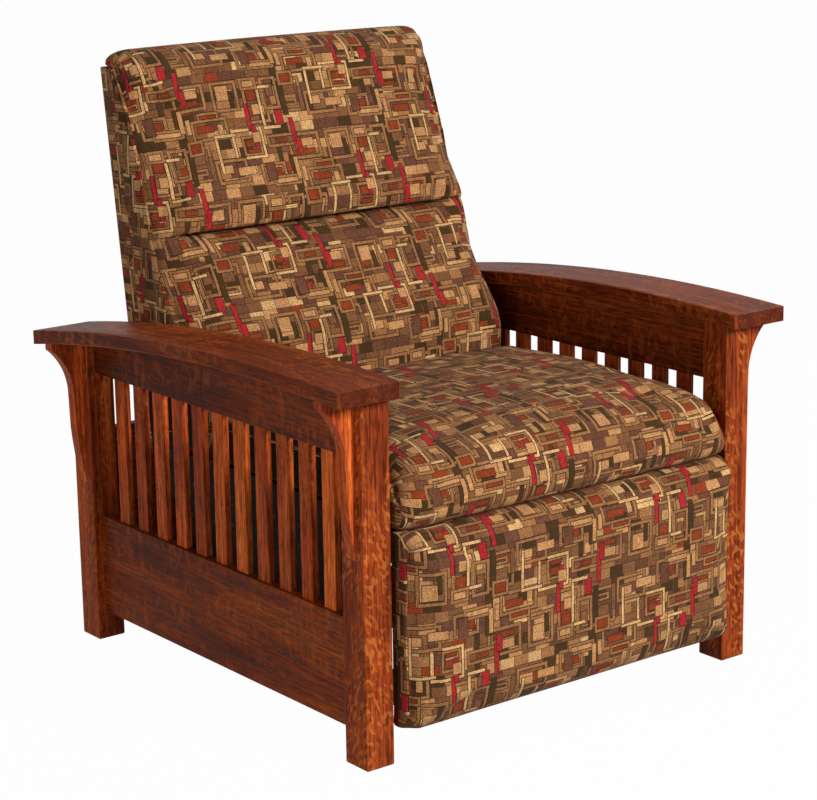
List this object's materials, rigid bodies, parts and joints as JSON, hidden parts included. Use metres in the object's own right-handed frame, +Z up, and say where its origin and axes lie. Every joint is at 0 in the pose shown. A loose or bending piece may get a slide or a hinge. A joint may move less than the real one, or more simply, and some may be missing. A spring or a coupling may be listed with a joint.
{
  "type": "mission reclining armchair",
  "caption": "Wooden mission armchair with slatted sides and bowed arms over corbels; its padded seat slides forward as the back reclines, and a footrest folds out.",
  "frame": {"origin": "on the floor, under the middle of the chair with its footrest stowed", "axes": "+Z up, -Y towards the front of the chair, +X towards the sitter's left side"},
  "size_m": [0.914, 0.9037, 1.018],
  "materials": {
    "stained_oak": "satin",
    "frame_hardwood": "matte",
    "tapestry_cushion": "matte",
    "tapestry_cover": "matte",
    "black_steel": "satin",
    "zinc_fastener": "satin",
    "spring_steel": "satin"
  },
  "bodies": {
    "base": {"arm_left": "stained_oak", "arm_right": "stained_oak", "upper_side_rail_left": "stained_oak", "upper_side_rail_right": "stained_oak", "lower_side_rail_left": "stained_oak", "lower_side_rail_right": "stained_oak", "side_slats_left": "stained_oak", "side_slats_right": "stained_oak", "front_post_left": "stained_oak", "front_post_right": "stained_oak", "rear_post_left": "stained_oak", "rear_post_right": "stained_oak", "front_corbel_left": "stained_oak", "front_corbel_right": "stained_oak", "rear_corbel_left": "stained_oak", "rear_corbel_right": "stained_oak", "front_stretcher": "stained_oak", "rear_lower_rail": "stained_oak", "rear_upper_rail": "stained_oak", "swing_base_bar_left": "black_steel", "swing_base_bar_right": "black_steel", "base_pivot_pins": "zinc_fastener", "base_bar_screws": "zinc_fastener"},
    "front_swing": {"front_swing_links": "black_steel"},
    "rear_swing": {"rear_swing_links": "black_steel"},
    "seat": {"seat_side_rail_left": "frame_hardwood", "seat_side_rail_right": "frame_hardwood", "seat_front_rail": "frame_hardwood", "seat_rear_rail": "frame_hardwood", "seat_plate_left": "black_steel", "seat_plate_right": "black_steel", "seat_pivot_pins": "zinc_fastener", "seat_plate_screws": "zinc_fastener", "seat_springs": "spring_steel", "seat_spring_clips": "spring_steel", "seat_cushion": "tapestry_cushion"},
    "back": {"back_stile_left": "frame_hardwood", "back_stile_right": "frame_hardwood", "back_top_rail": "frame_hardwood", "back_bottom_rail": "frame_hardwood", "back_bracket_left": "black_steel", "back_bracket_right": "black_steel", "back_bracket_screws": "zinc_fastener", "back_springs": "spring_steel", "back_spring_clips": "spring_steel", "back_cover": "tapestry_cover", "back_cushion": "tapestry_cushion", "head_cushion": "tapestry_cushion"},
    "main_link": {"main_links": "black_steel", "main_link_rivets": "zinc_fastener"},
    "control_link": {"control_links": "black_steel", "control_link_rivets": "zinc_fastener", "footrest_tube": "black_steel"},
    "outer_link": {"outer_links": "black_steel"},
    "brace_link": {"brace_links": "black_steel"},
    "footrest": {"footrest_board": "frame_hardwood", "footrest_pad": "tapestry_cushion", "footrest_brackets": "black_steel", "footrest_screws": "zinc_fastener", "footrest_rivets": "zinc_fastener"}
  },
  "joints": [
    {"name": "back_recline", "type": "hinge", "parent": "seat", "child": "back", "pos_m": [0, 0.2304, 0.335], "axis": [-1, 0, 0], "range_deg": [0, 35]},
    {"name": "seat_swing", "type": "hinge", "parent": "base", "child": "front_swing", "pos_m": [0, -0.1896, 0.19], "axis": [1, 0, 0], "range_deg": [0, 40.01]},
    {"name": "seat_level", "type": "hinge", "parent": "front_swing", "child": "seat", "pos_m": [0, -0.16631, 0.27693], "axis": [1, 0, 0], "range_deg": [-40.01, 0]},
    {"name": "rear_swing_turn", "type": "hinge", "parent": "base", "child": "rear_swing", "pos_m": [0, 0.1604, 0.19], "axis": [1, 0, 0], "range_deg": [0, 40.01]},
    {"name": "footrest_open", "type": "hinge", "parent": "seat", "child": "main_link", "pos_m": [0, -0.2896, 0.322], "axis": [-1, 0, 0], "range_deg": [0, 78.1]},
    {"name": "control_link_turn", "type": "hinge", "parent": "seat", "child": "control_link", "pos_m": [0, -0.3296, 0.3374], "axis": [-1, 0, 0], "range_deg": [0, 88.52]},
    {"name": "outer_link_turn", "type": "hinge", "parent": "main_link", "child": "outer_link", "pos_m": [0, -0.2796, 0.1373], "axis": [-1, 0, 0], "range_deg": [-112.18, 0]},
    {"name": "brace_link_turn", "type": "hinge", "parent": "control_link", "child": "brace_link", "pos_m": [0, -0.28122, 0.12042], "axis": [-1, 0, 0], "range_deg": [-111.17, 0]},
    {"name": "footrest_turn", "type": "hinge", "parent": "outer_link", "child": "footrest", "pos_m": [0, -0.3296, 0.265], "axis": [-1, 0, 0], "range_deg": [0, 124.13]}
  ],
  "couplings": [
    {"joint": "seat_swing", "follows": "back_recline", "ratio": 1.1429},
    {"joint": "seat_level", "follows": "back_recline", "ratio": -1.1429},
    {"joint": "rear_swing_turn", "follows": "back_recline", "ratio": 1.1429},
    {"joint": "control_link_turn", "follows": "footrest_open", "ratio": 1.127},
    {"joint": "outer_link_turn", "follows": "footrest_open", "ratio": -1.43},
    {"joint": "brace_link_turn", "follows": "footrest_open", "ratio": -1.417},
    {"joint": "footrest_turn", "follows": "footrest_open", "ratio": 1.583}
  ]
}
